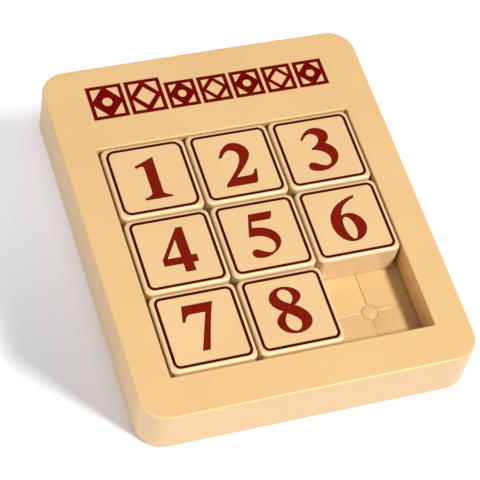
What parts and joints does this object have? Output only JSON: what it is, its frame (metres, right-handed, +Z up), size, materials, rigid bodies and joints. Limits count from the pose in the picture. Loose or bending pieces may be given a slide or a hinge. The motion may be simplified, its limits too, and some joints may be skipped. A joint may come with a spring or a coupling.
{
  "type": "sliding tile puzzle",
  "caption": "Handheld sliding number puzzle: square tiles with digits in a shallow moulded tray, with one empty cell to slide them through.",
  "frame": {"origin": "middle of the tray's footprint, on the surface that it rests on", "axes": "+Z up out of the tray's face, +Y towards the title band above the well, +X to the right as the digits are read"},
  "size_m": [0.0828, 0.1006, 0.0141],
  "materials": {
    "tray_plastic": "satin",
    "tray_floor_plastic": "satin",
    "back_cover_plastic": "satin",
    "tile_plastic": "satin",
    "tile_base_plastic": "matte",
    "red_paint": "satin",
    "ring_paint": "satin",
    "sheet_steel": "satin",
    "nickel_plate": "polished",
    "screw_steel": "satin"
  },
  "bodies": {
    "tray": {"tray_frame": "tray_plastic", "well_floor": "tray_floor_plastic", "steel_sheet": "sheet_steel", "back_cover": "back_cover_plastic", "cover_screw_1": "screw_steel", "cover_screw_2": "screw_steel", "cover_screw_3": "screw_steel", "cover_screw_4": "screw_steel", "title_ornament_1": "red_paint", "title_ornament_2": "red_paint", "title_ornament_3": "red_paint", "title_ornament_4": "red_paint", "title_ornament_5": "red_paint", "title_ornament_6": "red_paint", "title_ornament_7": "red_paint"},
    "tile_1": {"tile_1_body": "tile_plastic", "tile_1_base": "tile_base_plastic", "tile_1_magnet": "nickel_plate", "tile_1_ring": "ring_paint", "tile_1_digit": "red_paint"},
    "tile_2": {"tile_2_body": "tile_plastic", "tile_2_base": "tile_base_plastic", "tile_2_magnet": "nickel_plate", "tile_2_ring": "ring_paint", "tile_2_digit": "red_paint"},
    "tile_3": {"tile_3_body": "tile_plastic", "tile_3_base": "tile_base_plastic", "tile_3_magnet": "nickel_plate", "tile_3_ring": "ring_paint", "tile_3_digit": "red_paint"},
    "tile_4": {"tile_4_body": "tile_plastic", "tile_4_base": "tile_base_plastic", "tile_4_magnet": "nickel_plate", "tile_4_ring": "ring_paint", "tile_4_digit": "red_paint"},
    "tile_5": {"tile_5_body": "tile_plastic", "tile_5_base": "tile_base_plastic", "tile_5_magnet": "nickel_plate", "tile_5_ring": "ring_paint", "tile_5_digit": "red_paint"},
    "tile_6": {"tile_6_body": "tile_plastic", "tile_6_base": "tile_base_plastic", "tile_6_magnet": "nickel_plate", "tile_6_ring": "ring_paint", "tile_6_digit": "red_paint"},
    "tile_7": {"tile_7_body": "tile_plastic", "tile_7_base": "tile_base_plastic", "tile_7_magnet": "nickel_plate", "tile_7_ring": "ring_paint", "tile_7_digit": "red_paint"},
    "tile_8": {"tile_8_body": "tile_plastic", "tile_8_base": "tile_base_plastic", "tile_8_magnet": "nickel_plate", "tile_8_ring": "ring_paint", "tile_8_digit": "red_paint"}
  },
  "joints": [
    {"name": "tile_1_lift", "type": "slide", "parent": "tray", "child": "tile_1", "axis": [0, 0, 1], "range_m": [0, 0.012]},
    {"name": "tile_2_lift", "type": "slide", "parent": "tray", "child": "tile_2", "axis": [0, 0, 1], "range_m": [0, 0.012]},
    {"name": "tile_3_lift", "type": "slide", "parent": "tray", "child": "tile_3", "axis": [0, 0, 1], "range_m": [0, 0.012]},
    {"name": "tile_4_lift", "type": "slide", "parent": "tray", "child": "tile_4", "axis": [0, 0, 1], "range_m": [0, 0.012]},
    {"name": "tile_5_lift", "type": "slide", "parent": "tray", "child": "tile_5", "axis": [0, 0, 1], "range_m": [0, 0.012]},
    {"name": "tile_6_slide", "type": "slide", "parent": "tray", "child": "tile_6", "axis": [0, 1, 0], "range_m": [-0.0216, 0]},
    {"name": "tile_7_lift", "type": "slide", "parent": "tray", "child": "tile_7", "axis": [0, 0, 1], "range_m": [0, 0.012]},
    {"name": "tile_8_slide", "type": "slide", "parent": "tray", "child": "tile_8", "axis": [1, 0, 0], "range_m": [0, 0.0216]}
  ]
}
